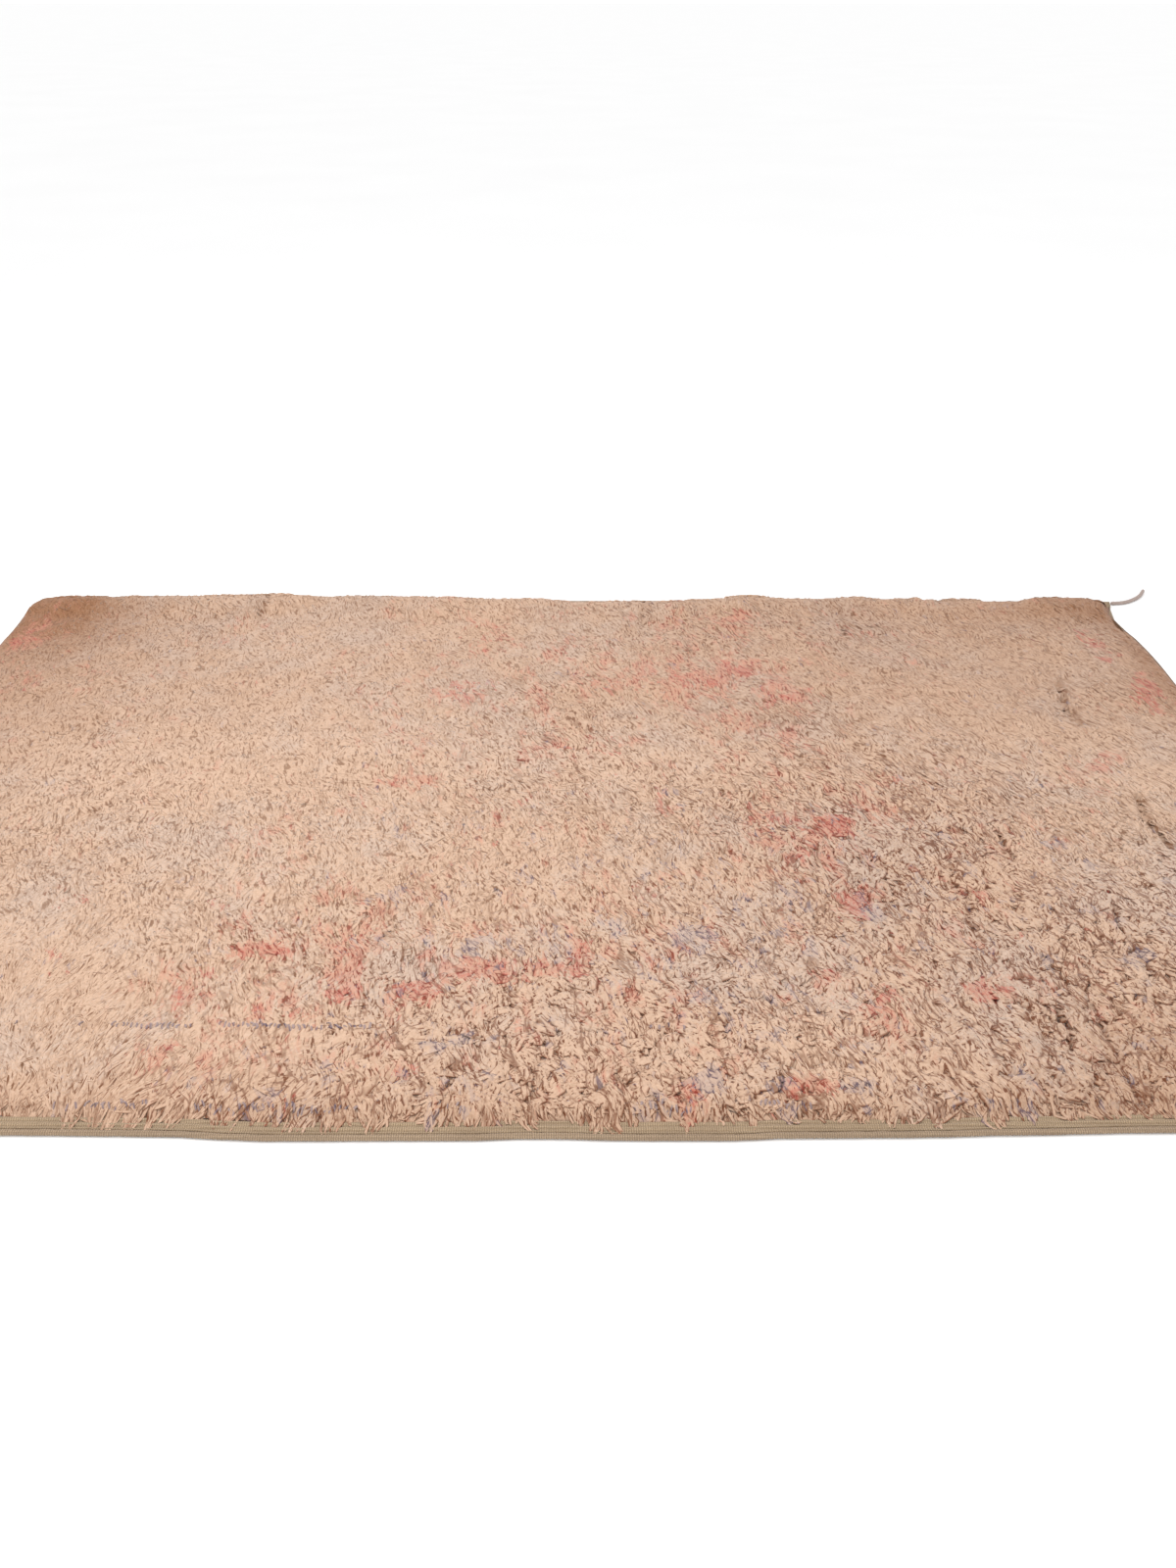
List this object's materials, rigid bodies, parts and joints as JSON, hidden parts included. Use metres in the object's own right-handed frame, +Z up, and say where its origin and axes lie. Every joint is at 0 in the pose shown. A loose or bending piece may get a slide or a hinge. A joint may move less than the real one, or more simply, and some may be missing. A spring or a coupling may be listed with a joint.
{
  "type": "beni mguild rug",
  "caption": "Hand-knotted wool shag rug, rectangular and lying flat, with flat-woven selvedges, overcast long edges and a loose tail of warps at a corner.",
  "frame": {"origin": "on the floor, under the middle of the rug's own box, without the corner tail", "axes": "+X along the long side, +Y from the near long edge to the far one, which has the corner tail at its +X end, +Z up from the floor"},
  "size_m": [3.2468, 2.0195, 0.0361],
  "materials": {
    "ground_wool": "flat weave of undyed wool with low ribs, matte",
    "binding_wool": "overcast wool cord, matte",
    "pile_wool": "long faded wool pile in locks, matte with a soft sheen",
    "tail_wool": "twisted warp rope, matte"
  },
  "bodies": {
    "root": {"ground_weave": "ground_wool", "selvedge_binding_near": "binding_wool", "selvedge_binding_far": "binding_wool", "shag_pile": "pile_wool", "corner_tail": "tail_wool"}
  },
  "joints": []
}
